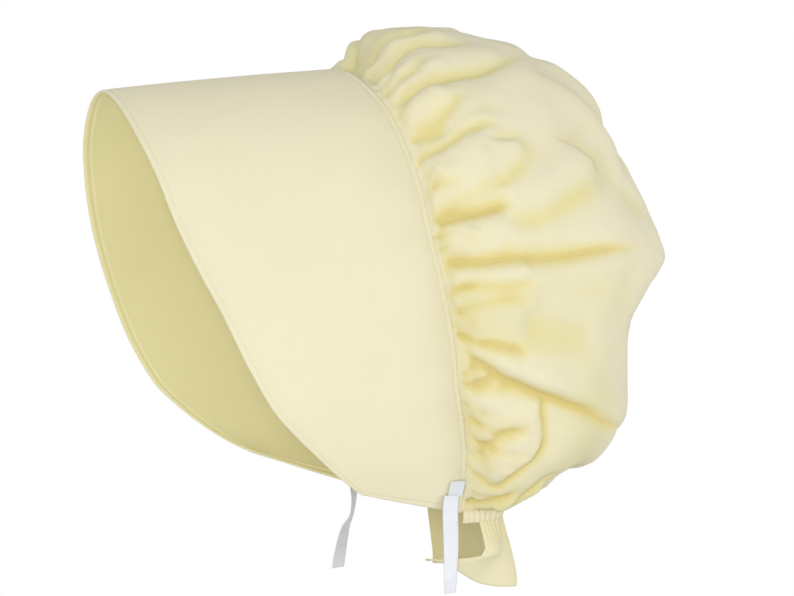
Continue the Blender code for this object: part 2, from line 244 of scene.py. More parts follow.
# Soft shades on the puffs' far sides and in their hollows
# stops, strength, width in millimetres
SHADES = (
    (((427, 150), (418, 220), (395, 262), (367, 272)), 0.8, 5),
    (((490, 225), (485, 302), (468, 365), (450, 438), (422, 497), (395, 497)), 0.8, 8),
    (((585, 50), (592, 130), (600, 220)), 0.6, 7),
    (((622, 40), (632, 130), (648, 220), (672, 310)), 0.6, 10),
    (((580, 300), (620, 400), (640, 500)), 0.4, 20),
    (((800, 330), (870, 310), (930, 220), (990, 100)), 1.6, 17),
    (((790, 10), (850, 20), (910, 20)), 0.8, 6),
    (((-40, 20), (30, 80), (50, 160)), 0.7, 13),
)
# Towards the crown's top the painted crease shade is olive, not warm
OLIVE_REACH = 0.45
OLIVE_SHARE = 0.80
START_FADE = 0.08
END_FADE = 0.30
CREASE_ROUND = 1.6 * MM
CREASE_BITE = 2.6 * MM
CREASE_SHADE = 3.0 * MM
DEEP_CREASE = 1.6
FOLD_REACH = 3.0
PUFF_START_FADE = 0.20

# Fine gathers along the crown's sewn edge
# first station, last station, pitch, depth, length, all three in millimetres
GATHER_ZONES = (
    (0.00, 0.30, 5.0, 2.3, 34),
    (0.30, 0.66, 6.0, 1.9, 24),
    (0.66, 0.80, 4.4, 2.3, 26),
    (0.80, 1.00, 4.8, 2.4, 30),
    (1.00, 1.36, 4.8, 3.0, 34),
)
GATHER_SEED = 1867
GATHER_WIDTH = 0.30
RISE_LENGTH = 0.26
# Between which shares the random place, strength, width, length and step of a gather lie
GATHER_FIRST = (0.2, 0.8)
GATHER_STRENGTHS = (0.35, 1.0)
GATHER_WIDTHS = (0.7, 1.3)
GATHER_LENGTHS = (0.45, 1.25)
GATHER_STEPS = (0.65, 1.45)
GATHER_LEAN = 0.18
GATHER_NEAR = 0.12
GATHER_CUT = 2.6
GATHER_SPREAD = 1.2
GATHER_SHARPNESS = 1.5
GATHER_START = 0.45
GATHER_START_RISE = 0.02
GATHER_SHADE = 0.55
FULL_GATHER = 1.5 * MM

# Cloth simulation of the crown: it has more cloth than its base form, so it buckles into folds
SIM_FACETS = (320, 72)
SIM_FRAMES = 26
FULLNESS = 0.05
EDGE_FULLNESS = 0.13
FULL_RISE = 0.30
SIM_HOLD = 0.02
SIM_LIMIT = 0.009
SIM_PRESSURE = 1.2
SIM_SETTINGS = {
    "quality": 6,
    "mass": 0.05,
    "air_damping": 2.0,
    "tension_stiffness": 12.0,
    "compression_stiffness": 12.0,
    "shear_stiffness": 4.0,
    "bending_stiffness": 0.35,
    "pin_stiffness": 1.0,
}
SWELL_BLURS = 120
SWELL_CUT = 0.9
FINE_BLURS = 2
SIM_SHARE = 0.75
TIP_HOLD_RISE = 0.80
SEWN_RISE = 1e-4
FREED_RISE = 0.02
TINY = 1e-9
# Marks for the painted shade: how often the grid is softened, and how deep a full valley lies below it
VALLEY = (10, 0.0007)
HOLLOW = (160, 0.0016)
FOLD_MARK = 0.55
VALLEY_MARK = 0.8
HOLLOW_GAIN = 1.25
ROW_BLUR = 6
MARK_BLURS = 2
TUCK_RISE = 0.0016
TUCK = (0.0019, 0.0004)
TOP_DROP = 0.0022
TOP_DROP_REACH = 0.14
TOP_DROP_RISE = 0.30
SETTLE_RISE = 0.03
EDGE_RISE = 0.012
EDGE_SWELL = 0.0006

# Unevenness of the cloth: height in millimetres and length of its waves in metres
CLOTH_WAVES = ((0.55, 0.030), (0.20, 0.011))

# Brim edges: distance of the stitch lines from the edge, and how much the wall is pinched there
FRONT_STITCH_INSET = 0.0036
SEAM_STITCH_INSET = 0.0028
STITCH_PINCH = 0.42
STITCH_PINCH_WIDTH = 0.0009
EDGE_BAND = 0.0085
EDGE_BAND_SHARE = 0.16
BOTTOM_BAND_SHARE = 0.045
EDGE_ROUND = 0.0009
SEAM_EDGE_SWELL = 0.0004
BRIM_PUCKER = 0.00012
BRIM_SLACK = 3 * BRIM_PUCKER
EDGE_THINNING = 0.55
PUCKER_WAVE = 0.007
SLACK_WAVE = 0.045
PUCKER_BAND = 0.006
SWELL_BAND = 0.0015

# Casing at the nape
CASING_TOP = -0.2500
CASING_DEPTH = 0.0072
CASING_END = 0.985
CASING_PUCKER = 0.0014
CASING_PUCKERS = 44
CASING_BELLY = 0.0009
CASING_SINK = 0.0012
CASING_SINK_DEPTH = 0.1
CASING_TOP_SHARE = 0.55

# Waves of the casing and the ruffle: how far their pitch and their strength wander
WANDER = 2.2
WANDER_PITCH = 5
STRENGTH_PITCH = 2
STRENGTH_ROW = 7
STRENGTH = (0.8, 1.1)
WAVE_MIDDLE = 0.6
FULL_VALLEY = 0.35
CASING_SEED = 3
RUFFLE_SEED = 5

# Neck ruffle, hung from the casing
RUFFLE_TOP = -0.2570
RUFFLE_DROP = 0.0425
RUFFLE_FLARE = 0.0100
RUFFLE_WAVE = 0.0035
RUFFLE_WAVES = 4.5
RUFFLE_LEFT_END = 0.86
RUFFLE_RIGHT_END = -0.55
RUFFLE_PLEAT = 0.0010
RUFFLE_PLEATS = 26
RUFFLE_HEM = 0.0070
RUFFLE_HEM_DROP = 0.22
RUFFLE_PLEAT_REACH = 0.32
RUFFLE_CREASE_REACH = 0.40
RUFFLE_BELL = (1.15, 0.25, 8)
HEM_STEP = 0.0003
HEM_STITCH_INSET = 0.0012
HEM_STITCH_WIDTH = 0.0006
HEM_PINCH = 0.4
SINGLE_CLOTH = 0.55
# The left end sweeps forward: share of the way down, forward, drop
RUFFLE_SWEEP_REACH = 0.17
RUFFLE_SWEEP = (
    (0.00, 0.0000, 0.0000),
    (0.20, -0.0010, 0.0085),
    (0.40, -0.0010, 0.0155),
    (0.52, 0.0030, 0.0195),
    (0.65, 0.0120, 0.0200),
    (0.82, 0.0255, 0.0198),
    (1.00, 0.0400, 0.0190),
)

# Ribbon ties, from where they are tacked to the brim's outer face down to their free ends
# x, y, z, turn of the ribbon's width from the front-to-back line in degrees
RIBBON_WIDTH = 0.0098
LEFT_TACK = (
    (0.0802, 0.0388, -0.2317, -5),
    (0.0783, 0.0388, -0.2360, -5),
    (0.0762, 0.0388, -0.2408, -5),
)
LEFT_RIBBON = (
    (0.0776, 0.0360, -0.2399, -5),
    (0.0760, 0.0362, -0.2450, -5),
    (0.0756, 0.0362, -0.2530, -4),
    (0.0800, 0.0344, -0.2700, -8),
    (0.0812, 0.0332, -0.2948, -24),
)
RIGHT_RIBBON = (
    (-0.0802, 0.0390, -0.2317, 4),
    (-0.0767, 0.0402, -0.2420, -14),
    (-0.0757, 0.0440, -0.2530, -40),
    (-0.0763, 0.0432, -0.2680, -52),
    (-0.0767, 0.0385, -0.2780, -34),
    (-0.0767, 0.0352, -0.2925, -21),
    (-0.0767, 0.0336, -0.3020, -19),
)
SELVEDGE = 0.0005
RIBBON_MIDDLE = 0.6

# Stitches
STITCH_PITCH = 0.0027
STITCH_LENGTH = 0.0022
STITCH_WIDTH = 0.00042
STITCH_SIDES = 6
STITCH_RINGS = 4
STITCH_LIFT = 0.1
STITCH_STATIONS = 1500
STITCH_RISES = 200
STITCH_START = 0.05
SEAM_ROW_END = 0.985

# Facets along and across each piece
BRIM_FACETS = (300, 84)
CROWN_FACETS = (440, 108)
CASING_FACETS = (520, 16)
RUFFLE_FACETS = (340, 44)
RIBBON_FACETS = (180, 14)
CROWN_CROWDING = 1.35
SPLINE_STEPS = 12
MERGE_DISTANCE = 1e-6
SMALL_STEP = 1e-3

# Colours as red, green and blue
COTTON_PALE = (0.810, 0.762, 0.555)
COTTON_DEEP = (0.780, 0.725, 0.505)
# Painted shade colours: yellow bounce light in creases, dark brown in the deepest creases, olive in hollows
CREASE_PAINTED_SHADE = (0.800, 0.700, 0.270)
DEEP_CREASE_PAINTED_SHADE = (0.620, 0.500, 0.180)
HOLLOW_PAINTED_SHADE = (0.705, 0.660, 0.372)
RUFFLE_PALE = (0.830, 0.765, 0.470)
# The ruffle's inside: the same cotton darkened to olive, painted shade
RUFFLE_INSIDE_PAINTED_SHADE = (0.640, 0.580, 0.310)
# The brim's inside: the same cotton in a deeper yellow, painted shade and bounce light of the hollow brim
INSIDE_PAINTED_SHADE_PALE = (0.880, 0.820, 0.460)
INSIDE_PAINTED_SHADE_DEEP = (0.860, 0.795, 0.430)
THREAD_COLOUR = (0.790, 0.730, 0.480)
SATIN_WHITE = (0.820, 0.845, 0.890)
SATIN_SHADE = (0.740, 0.760, 0.820)
THREAD_PITCH = 0.00042
RIB_TURNS = 900.0

# Width and length over which the weave is laid on each piece
BRIM_WEAVE = (0.66, 0.15)
CROWN_WEAVE = (0.80, 0.26)
CASING_WEAVE = (0.24, 0.012)
RUFFLE_WEAVE = (0.24, 0.045)


def unit(vectors):
    return vectors / np.linalg.norm(vectors, axis=-1, keepdims=True)


def noise_at(points):
    return np.array([noise.noise(Vector(point)) for point in points])


def soften(sheet, rows=True):
    """Blend each point of a grid with its neighbours in its row and, where asked, in its column."""
    sheet[:, 1:-1] = (sheet[:, :-2] + 2 * sheet[:, 1:-1] + sheet[:, 2:]) / 4
    if rows:
        sheet[1:-1] = (sheet[:-2] + 2 * sheet[1:-1] + sheet[2:]) / 4


def grid_spots(around, across, facets):
    """The row and the column of each point of a flat grid."""
    return np.rint(across * facets[1]).astype(int), np.rint(around * facets[0]).astype(int)


def finished_mesh(name, bm):
    mesh = bpy.data.meshes.new(name)
    bm.to_mesh(mesh)
    bm.free()
    return mesh


def in_scene(name, data):
    made = bpy.data.objects.new(name, data)
    bpy.context.scene.collection.objects.link(made)
    return made


def smooth_line(points):
    """A dense line through the points, rounded between them."""
    rows = np.asarray(points, float)
    ends = np.vstack([2 * rows[0] - rows[1], rows, 2 * rows[-1] - rows[-2]])
    t = np.linspace(0, 1, SPLINE_STEPS, endpoint=False)[:, None]
    spans = []
    for a, b, c, d in zip(ends[:-3], ends[1:-2], ends[2:-1], ends[3:]):
        bend = (2 * a - 5 * b + 4 * c - d) * t**2 + (3 * b - a - 3 * c + d) * t**3
        spans.append(0.5 * (2 * b + (c - a) * t + bend))
    return np.vstack(spans + [rows[-1:]])


def half_arch(rows):
    """The left half of an arch as a dense line that leaves the middle level."""
    mirrored = np.array(rows[1]) * (-1, 1, 1)
    return smooth_line([mirrored, *rows])[SPLINE_STEPS:]


def line_length(line):
    return np.linalg.norm(np.diff(line[:, :3], axis=0), axis=1).sum()


def at_share(line, share):
    """Points of a line at shares of its length, measured on its first three columns."""
    steps = np.linalg.norm(np.diff(line[:, :3], axis=0), axis=1)
    length = np.concatenate([[0], np.cumsum(steps)])
    wanted = np.clip(share, 0, 1) * length[-1]
    return np.stack([np.interp(wanted, length, column) for column in line.T], axis=-1)


def on_side(points, station):
    """Left-half points put on the side that the station's sign tells."""
    side = np.where(station < 0, -1.0, 1.0)
    return points * np.stack([side, np.ones_like(side), np.ones_like(side)], axis=-1)


SEAM_LINE = half_arch(SEAM)
FRONT_LINE = half_arch(FRONT_EDGE)
NECK_LINE = smooth_line(NECKLINE)
SECTION_LINE = smooth_line(CROWN_SECTIONS)[::-1]
SEAM_LENGTH = line_length(SEAM_LINE)
NECK_LENGTH = line_length(NECK_LINE)


def crown_edge(station):
    """The crown's edge: the seam up to a station of 1, then the neckline up to NECK_END."""
    along = np.abs(station)
    seam = at_share(SEAM_LINE, along) + (0, SEWN_GAP, 0)
    neck = at_share(NECK_LINE, (along - 1) / (NECK_END - 1)) + (0, SEWN_GAP, NECK_LIFT)
    return on_side(np.where((along > 1)[..., None], neck, seam), station)


def in_bag(points):
    """Whether each point is inside the crown's bag."""
    height = points[..., 2]
    half_width, front, back = (np.interp(height, SECTION_LINE[:, 0], SECTION_LINE[:, k]) for k in (1, 2, 3))
    depth = points[..., 1] - CROWN_MIDDLE[1]
    reach = np.where(depth > 0, back - CROWN_MIDDLE[1], CROWN_MIDDLE[1] - front)
    across = np.abs(points[..., 0]) / half_width
    along = np.abs(depth) / np.maximum(reach, SEWN_GAP)
    level = (height > CROWN_SECTIONS[-1][0]) & (height < CROWN_SECTIONS[0][0])
    return level & (across**CROWN_SQUARENESS + along**CROWN_SQUARENESS < 1)


def bag_reach(direction):
    """How far the bag reaches from its middle in each direction."""
    inner = np.zeros(direction.shape[:-1])
    outer = np.full(direction.shape[:-1], CROWN_REACH_LIMIT)
    for _ in range(REACH_STEPS):
        middle = (inner + outer) / 2
        inside = in_bag(np.array(CROWN_MIDDLE) + direction * middle[..., None])
        inner = np.where(inside, middle, inner)
        outer = np.where(inside, outer, middle)
    return (inner + outer) / 2


def turned(start, end, share):
    """Directions turned from start to end by a share of the angle between them."""
    angle = np.arccos(np.clip((start * end).sum(-1), -1, 1))
    low = np.sin((1 - share) * angle)[..., None] * start
    high = np.sin(share * angle)[..., None] * end
    return (low + high) / np.sin(angle)[..., None]


def crown_base(station, rise):
    """The crown without its folds: rise is 0 at its sewn edge and 1 at the tip behind."""
    edge = crown_edge(station) - np.array(CROWN_MIDDLE)
    edge_reach = np.linalg.norm(edge, axis=-1)
    tip = np.broadcast_to(unit(np.array(CROWN_TIP)), edge.shape)
    direction = turned(unit(edge), tip, rise)
    swell = np.sqrt(1 - (1 - np.clip(rise / SHOULDER, 0, 1)) ** 2)
    reach = edge_reach + (bag_reach(direction) - edge_reach) * swell
    return np.array(CROWN_MIDDLE) + direction * reach[..., None], direction


def beside(base, stops, side, reach):
    """Which points lie near a fold's line, and their distance, their hand and their share of its length."""
    route = smooth_line([(station / STOP_SCALE, rise / STOP_SCALE, 0) for station, rise in stops])
    path, out = crown_base(side * route[:, 0], route[:, 1])
    low = path.min(0) - reach
    high = path.max(0) + reach
    near = np.flatnonzero(((base > low) & (base < high)).all(1))
    run = unit(np.gradient(path, axis=0))
    away = base[near][:, None, :] - path[None, :, :]
    nearest = (away**2).sum(-1).argmin(1)
    away = away[np.arange(len(near)), nearest]
    along = (away * run[nearest]).sum(-1)
    inner = (nearest > 0) & (nearest < len(path) - 1)
    away = away - run[nearest] * np.where(inner, along, 0)[:, None]
    hand = side * (away * np.cross(out[nearest], run[nearest])).sum(-1)
    return near, np.linalg.norm(away, axis=1), hand, nearest / (len(path) - 1)


def ends_faded(share, start, end):
    ramp = np.clip(np.minimum(share / start, (1 - share) / end), 0, 1)
    return ramp * ramp * (3 - 2 * ramp)


def hump(distance, reach):
    """A swell that starts softly at a crease, is 1 at its reach and dies away."""
    x = (np.sqrt(distance**2 + CREASE_ROUND**2) - CREASE_ROUND) / reach
    return x * np.exp((1 - x * x) / 2)


def crease_relief(base, relief, shade):
    for side in (1, -1):
        for stops, left, left_reach, right, right_reach, depth in CREASES:
            reach = FOLD_REACH * max(left_reach, right_reach) * MM
            near, off, hand, share = beside(base, stops, side, reach)
            fade = ends_faded(share, START_FADE, END_FADE)
            on_left = left * hump(off, left_reach * MM)
            on_right = right * hump(off, right_reach * MM)
            bite = depth * np.exp(-((off / CREASE_BITE) ** 2))
            relief[near] += MM * fade * (np.where(hand > 0, on_left, on_right) - bite)
            deep = min(depth, DEEP_CREASE) / DEEP_CREASE
            shade[near] += fade * deep * np.exp(-((off / CREASE_SHADE) ** 2))


def puff_relief(base, relief):
    for side in (1, -1):
        for stops, height, width in PUFFS:
            near, off, _, share = beside(base, stops, side, FOLD_REACH * width * MM)
            fade = ends_faded(share, PUFF_START_FADE, END_FADE)
            relief[near] += MM * height * fade * np.exp(-((off / (width * MM)) ** 2))


def shaded_share(base):
    """How far the soft shades darken each point."""
    total = np.zeros(len(base))
    for side in (1, -1):
        for stops, strength, width in SHADES:
            near, off, _, _ = beside(base, stops, side, FOLD_REACH * width * MM)
            total[near] += strength * np.exp(-((off / (width * MM)) ** 2))
    return total


def gather_rows():
    """Station, half width, depth, length and lean of each fine gather, from one seeded source."""
    chance = np.random.default_rng(GATHER_SEED)
    rows = []
    for side in (1, -1):
        for first, last, pitch, depth, length in GATHER_ZONES:
            metres = SEAM_LENGTH if last <= 1 else NECK_LENGTH / (NECK_END - 1)
            step = pitch * MM / metres
            place = first + step * chance.uniform(*GATHER_FIRST)
            while place < last:
                strength = chance.uniform(*GATHER_STRENGTHS)
                row = (
                    side * place,
                    step * GATHER_WIDTH * chance.uniform(*GATHER_WIDTHS),
                    depth * MM * strength,
                    length * MM * chance.uniform(*GATHER_LENGTHS) / RISE_LENGTH,
                    chance.normal(0, GATHER_LEAN),
                )
                rows.append(row)
                place += step * chance.uniform(*GATHER_STEPS)
    return rows


def gather_relief(station, rise, relief, shade):
    for place, width, depth, length, lean in gather_rows():
        near = np.flatnonzero((np.abs(station - place) < GATHER_NEAR) & (rise < GATHER_CUT * length))
        off = np.abs(station[near] - place - lean * rise[near])
        spread = width * (1 + GATHER_SPREAD * rise[near] / length)
        across = np.exp(-((off / spread) ** GATHER_SHARPNESS))
        fade = np.exp(-((rise[near] / length) ** 2))
        start = GATHER_START + (1 - GATHER_START) * np.clip(rise[near] / GATHER_START_RISE, 0, 1)
        relief[near] -= depth * across * fade * start
        shade[near] += GATHER_SHADE * (depth / FULL_GATHER) * across * fade


def cloth_unevenness(base):
    total = np.zeros(len(base))
    for height, length in CLOTH_WAVES:
        total += height * MM * noise_at(base / length)
    return total


def crown_point(station, rise, gathered):
    """The outer face of the crown with its folds, and how deep in a crease each point lies."""
    base, direction = crown_base(station, rise)
    relief = np.zeros(len(base))
    shade = np.zeros(len(base))
    crease_relief(base, relief, shade)
    puff_relief(base, relief)
    if gathered:
        gather_relief(station, rise, relief, shade)
    settle = np.clip(rise / SETTLE_RISE, 0, 1)
    relief += cloth_unevenness(base) * settle
    low = np.minimum(relief, EDGE_SWELL * rise / EDGE_RISE)
    relief = np.where(rise < EDGE_RISE, low, relief)
    top = np.exp(-((station / TOP_DROP_REACH) ** 2) - (rise / TOP_DROP_RISE) ** 2)
    relief -= TOP_DROP * top * settle
    tuck = np.clip(1 - rise / TUCK_RISE, 0, 1) * (np.abs(station) <= 1)
    point = base + direction * (relief - TUCK[1] * tuck)[:, None] - np.outer(TUCK[0] * tuck, (0, 1, 0))
    return point, np.clip(shade, 0, 1)


def sim_settings(cloth):
    for name, value in SIM_SETTINGS.items():
        setattr(cloth.settings, name, value)
    cloth.settings.shrink_min = -FULLNESS
    cloth.settings.shrink_max = -EDGE_FULLNESS
    cloth.settings.use_pressure = True
    cloth.settings.uniform_pressure_force = SIM_PRESSURE
    cloth.settings.effector_weights.gravity = 0.0
    cloth.settings.vertex_group_mass = "hold"
    cloth.settings.vertex_group_shrink = "fullness"
    cloth.collision_settings.use_collision = False


def crown_buckling():
    """How far the cloth's fullness moves each point of a grid over the crown, by row and column."""
    bm, around, across = flat_grid(SIM_FACETS)
    rise = across**CROWN_CROWDING
    points, _ = crown_point(NECK_END * (2 * around - 1), rise, False)
    spots = bm.verts.layers.int.new("spot")
    for index, (vert, point) in enumerate(zip(bm.verts, points)):
        vert.co = point
        vert[spots] = index
    bmesh.ops.remove_doubles(bm, verts=bm.verts, dist=MERGE_DISTANCE)
    mesh = finished_mesh("crown_bag", bm)
    bag = in_scene("crown_bag", mesh)
    spot = np.zeros(len(mesh.vertices), int)
    mesh.attributes["spot"].data.foreach_get("value", spot)
    held = bag.vertex_groups.new(name="hold")
    full = bag.vertex_groups.new(name="fullness")
    for index, level in enumerate(rise[spot]):
        tip = np.clip((level - TIP_HOLD_RISE) / (1 - TIP_HOLD_RISE), 0, 1)
        held.add([index], 1.0 if level < SEWN_RISE else SIM_HOLD + (1 - SIM_HOLD) * tip**2, "REPLACE")
        full.add([index], float(np.clip(1 - level / FULL_RISE, 0, 1)), "REPLACE")
    sim_settings(bag.modifiers.new("cloth", "CLOTH"))
    for step in range(1, SIM_FRAMES + 1):
        bpy.context.scene.frame_set(step)
    shaped = bag.evaluated_get(bpy.context.evaluated_depsgraph_get()).to_mesh()
    flat = np.zeros(3 * len(spot))
    shaped.vertices.foreach_get("co", flat)
    move = flat.reshape(-1, 3) - points[spot]
    reach = np.linalg.norm(move, axis=1)
    move *= np.minimum(1, SIM_LIMIT / np.maximum(reach, TINY))[:, None]
    bpy.data.objects.remove(bag, do_unlink=True)
    bpy.context.scene.frame_set(1)
    moved = np.full((len(points), 3), np.nan)
    moved[spot] = move
    row, column = grid_spots(around, across, SIM_FACETS)
    field = np.zeros((SIM_FACETS[1] + 1, SIM_FACETS[0] + 1, 3))
    field[row, column] = moved
    first = np.where(np.isnan(field[:, 0]), field[:, -1], field[:, 0])
    field[:, 0] = first
    field[:, -1] = first
    field = np.nan_to_num(field)
    broad = field.copy()
    for _ in range(SWELL_BLURS):
        soften(broad)
    fine = field - SWELL_CUT * broad
    for _ in range(FINE_BLURS):
        soften(fine)
    return SIM_SHARE * fine


def looked_up(field, around, across):
    """Values of a field over rows and columns, at shares of its sides."""
    high, wide = field.shape[0] - 1, field.shape[1] - 1
    x = np.clip(around, 0, 1) * wide
    y = np.clip(across, 0, 1) * high
    left = np.minimum(x.astype(int), wide - 1)
    low = np.minimum(y.astype(int), high - 1)
    u = (x - left)[:, None]
    v = (y - low)[:, None]
    bottom = field[low, left] * (1 - u) + field[low, left + 1] * u
    top = field[low + 1, left] * (1 - u) + field[low + 1, left + 1] * u
    return bottom * (1 - v) + top * v


def valleys(points, around, across, outward, blurs, full):
    """How far each point of the crown's grid lies below its neighbourhood, as a share of a full valley."""
    row, column = grid_spots(around, across, CROWN_FACETS)
    sheet = np.zeros((CROWN_FACETS[1] + 1, CROWN_FACETS[0] + 1, 3))
    sheet[row, column] = points
    blurred = sheet.copy()
    for step in range(blurs):
        soften(blurred, step % ROW_BLUR == 0)
    depth = ((blurred[row, column] - points) * outward).sum(1)
    mark = np.zeros(sheet.shape[:2])
    mark[row, column] = np.clip(depth / full, 0, 1)
    for _ in range(MARK_BLURS):
        soften(mark)
    return mark[row, column]


def brim_outward(point):
    return unit(point * (1, 0, 1) - np.array(BRIM_AXIS))


def brim_middle(station, share):
    """The middle of the brim's wall: share is 0 at the seam and 1 at the front edge."""
    along = np.abs(station)
    seam = on_side(at_share(SEAM_LINE, along), station)
    front = on_side(at_share(FRONT_LINE, along), station)
    front[..., 2] += np.where(station < 0, RIGHT_CORNER_LIFT, 0) * along**RIGHT_LIFT_POWER
    point = seam + (front - seam) * share[..., None]
    out = brim_outward(point)
    bulge = BRIM_BULGE * 4 * share * (1 - share) - BRIM_WALL / 2
    return point + out * bulge[..., None]


def brim_depth(station):
    """How far the front edge is from the seam."""
    along = np.abs(station)
    return np.linalg.norm(at_share(FRONT_LINE, along) - at_share(SEAM_LINE, along), axis=-1)


def brim_edges(station, share):
    """Distances from the seam, from the front edge and from the lower edge."""
    depth = brim_depth(station)
    return share * depth, (1 - share) * depth, (1 - np.abs(station)) * SEAM_LENGTH


def brim_wall(station, share):
    """Share of the full wall: pinched along the stitches and rounded off at the edges."""
    from_seam, from_front, from_bottom = brim_edges(station, share)
    edge = np.minimum(from_front, from_bottom)
    front_stitches = np.exp(-(((edge - FRONT_STITCH_INSET) / STITCH_PINCH_WIDTH) ** 2))
    seam_stitches = np.exp(-(((from_seam - SEAM_STITCH_INSET) / STITCH_PINCH_WIDTH) ** 2))
    nearest = np.minimum(edge, from_seam)
    rounding = 1 - EDGE_THINNING * np.exp(-nearest / EDGE_ROUND)
    return rounding * (1 - STITCH_PINCH * np.maximum(front_stitches, seam_stitches))


def brim_point(station, share):
    point = brim_middle(station, share)
    from_seam, from_front, from_bottom = brim_edges(station, share)
    edge = np.minimum(np.minimum(from_front, from_bottom), from_seam)
    out = brim_outward(point)
    pucker = BRIM_PUCKER * noise_at(point / PUCKER_WAVE) * np.exp(-((edge / PUCKER_BAND) ** 2))
    pucker += BRIM_SLACK * noise_at(point / SLACK_WAVE)
    lift = SEAM_EDGE_SWELL * np.exp(-from_seam / SWELL_BAND)
    return point + out * (pucker + lift)[:, None]


def brim_shares(around, across):
    """Stations and shares whose rows crowd together near the brim's edges."""
    knots = (0, BOTTOM_BAND_SHARE, 1 - BOTTOM_BAND_SHARE, 1)
    bottom = EDGE_BAND / SEAM_LENGTH
    station = np.interp(around, knots, (1, 1 - bottom, -1 + bottom, -1))
    band = EDGE_BAND / brim_depth(station)
    middle = band + (across - EDGE_BAND_SHARE) / (1 - 2 * EDGE_BAND_SHARE) * (1 - 2 * band)
    low = across / EDGE_BAND_SHARE * band
    high = 1 - (1 - across) / EDGE_BAND_SHARE * band
    share = np.where(across < EDGE_BAND_SHARE, low, np.where(across > 1 - EDGE_BAND_SHARE, high, middle))
    return station, share


def neck(place):
    return on_side(at_share(NECK_LINE, 1 - np.abs(place)), place)


def neck_point(place):
    """The neckline from the right corner (-1) round the nape (0) to the left (1), and its way out."""
    ahead = neck(np.clip(place + NECK_STEP, -1, 1))
    behind = neck(np.clip(place - NECK_STEP, -1, 1))
    run = unit((ahead - behind) * (1, 1, 0))
    return neck(place), np.cross((0, 0, 1), run)


def uneven_wave(around, count, seed):
    """A wave of narrow valleys and rounded tops, whose pitch wanders."""
    wander = noise_at([(place * count / WANDER_PITCH, seed, 0) for place in around])
    strength = noise_at([(place * count / STRENGTH_PITCH, seed, STRENGTH_ROW) for place in around])
    wave = np.abs(np.sin(math.pi * (count * around + WANDER * wander))) - WAVE_MIDDLE
    return wave * (STRENGTH[0] + STRENGTH[1] * strength)


def pleat_valleys(around, count, seed):
    return np.clip(-uneven_wave(around, count, seed) / FULL_VALLEY, 0, 1)


def casing_point(around, down):
    """The middle of the casing's wall, drawn into small puckers."""
    line, out = neck_point(CASING_END * (1 - 2 * around))
    belly = CASING_BELLY * np.sin(math.pi * np.clip(down, 0, 1))
    pucker = CASING_PUCKER * uneven_wave(around, CASING_PUCKERS, CASING_SEED)
    pucker *= (CASING_TOP_SHARE + (1 - CASING_TOP_SHARE) * down)
    sink = CASING_SINK * (np.clip(down / CASING_SINK_DEPTH, 0, 1) - 1)
    line = line + out * (belly + pucker + sink)[:, None]
    line[:, 2] = CASING_TOP - CASING_DEPTH * down
    return line


def ruffle_point(around, down):
    """The neck ruffle: around runs from its left end to its right end, down from the casing to the hem."""
    line, out = neck_point(RUFFLE_LEFT_END + (RUFFLE_RIGHT_END - RUFFLE_LEFT_END) * around)
    swept = np.array(RUFFLE_SWEEP)
    at_end = np.exp(-((around / RUFFLE_SWEEP_REACH) ** 2))
    forward = at_end * np.interp(down, swept[:, 0], swept[:, 1])
    low = np.exp(-((around / (RUFFLE_SWEEP_REACH * (1 - RUFFLE_HEM_DROP * down**3))) ** 2))
    drop = RUFFLE_DROP * down * (1 - low) + low * np.interp(down, swept[:, 0], swept[:, 2])
    wave = RUFFLE_WAVE * down * np.sin(2 * math.pi * RUFFLE_WAVES * around)
    pleat = RUFFLE_PLEAT * uneven_wave(around, RUFFLE_PLEATS, RUFFLE_SEED)
    pleat *= np.exp(-((down / RUFFLE_PLEAT_REACH) ** 2))
    rise, curl, curl_power = RUFFLE_BELL
    flare = RUFFLE_FLARE * (down**rise - curl * down**curl_power)
    point = line + out * (flare + wave + pleat)[:, None] - np.outer(forward, (0, 1, 0))
    point[:, 2] = RUFFLE_TOP - drop
    return point


def ruffle_wall(around, down):
    """Share of the full wall: single cloth, double at the hem, pinched by the hem's stitches."""
    to_hem = (1 - down) * RUFFLE_DROP
    hem = 1 / (1 + np.exp((to_hem - RUFFLE_HEM) / HEM_STEP))
    stitches = np.exp(-(((to_hem - RUFFLE_HEM + HEM_STITCH_INSET) / HEM_STITCH_WIDTH) ** 2))
    return (SINGLE_CLOTH + (1 - SINGLE_CLOTH) * hem) * (1 - HEM_PINCH * stitches)


def ribbon_place(rows):
    """The middle layer of a ribbon that follows the rows."""
    line = smooth_line(rows)

    def place(along, across):
        centre = at_share(line, along)
        turn = np.radians(centre[:, 3])
        width = np.column_stack([np.sin(turn), np.cos(turn), np.zeros(len(turn))])
        return centre[:, :3] + width * (RIBBON_WIDTH * (across - 0.5))[:, None]

    return place


def ribbon_wall(along, across):
    """Share of the full wall: thin satin between two corded selvedges."""
    edge = np.minimum(across, 1 - across) * RIBBON_WIDTH
    return RIBBON_MIDDLE + (1 - RIBBON_MIDDLE) * np.exp(-(((edge - SELVEDGE) / SELVEDGE) ** 2))


class Value:
    """A number that varies over a surface. Operators on it add Math nodes."""

    def __init__(self, finish, socket):
        self.finish = finish
        self.socket = socket

    def math(self, operation, left, right):
        return self.finish.node("ShaderNodeMath", {"operation": operation}, {0: left, 1: right})

    def __add__(self, other):
        return self.math("ADD", self, other)

    def __radd__(self, other):
        return self.math("ADD", other, self)

    def __mul__(self, other):
        return self.math("MULTIPLY", self, other)

    def __rmul__(self, other):
        return self.math("MULTIPLY", other, self)


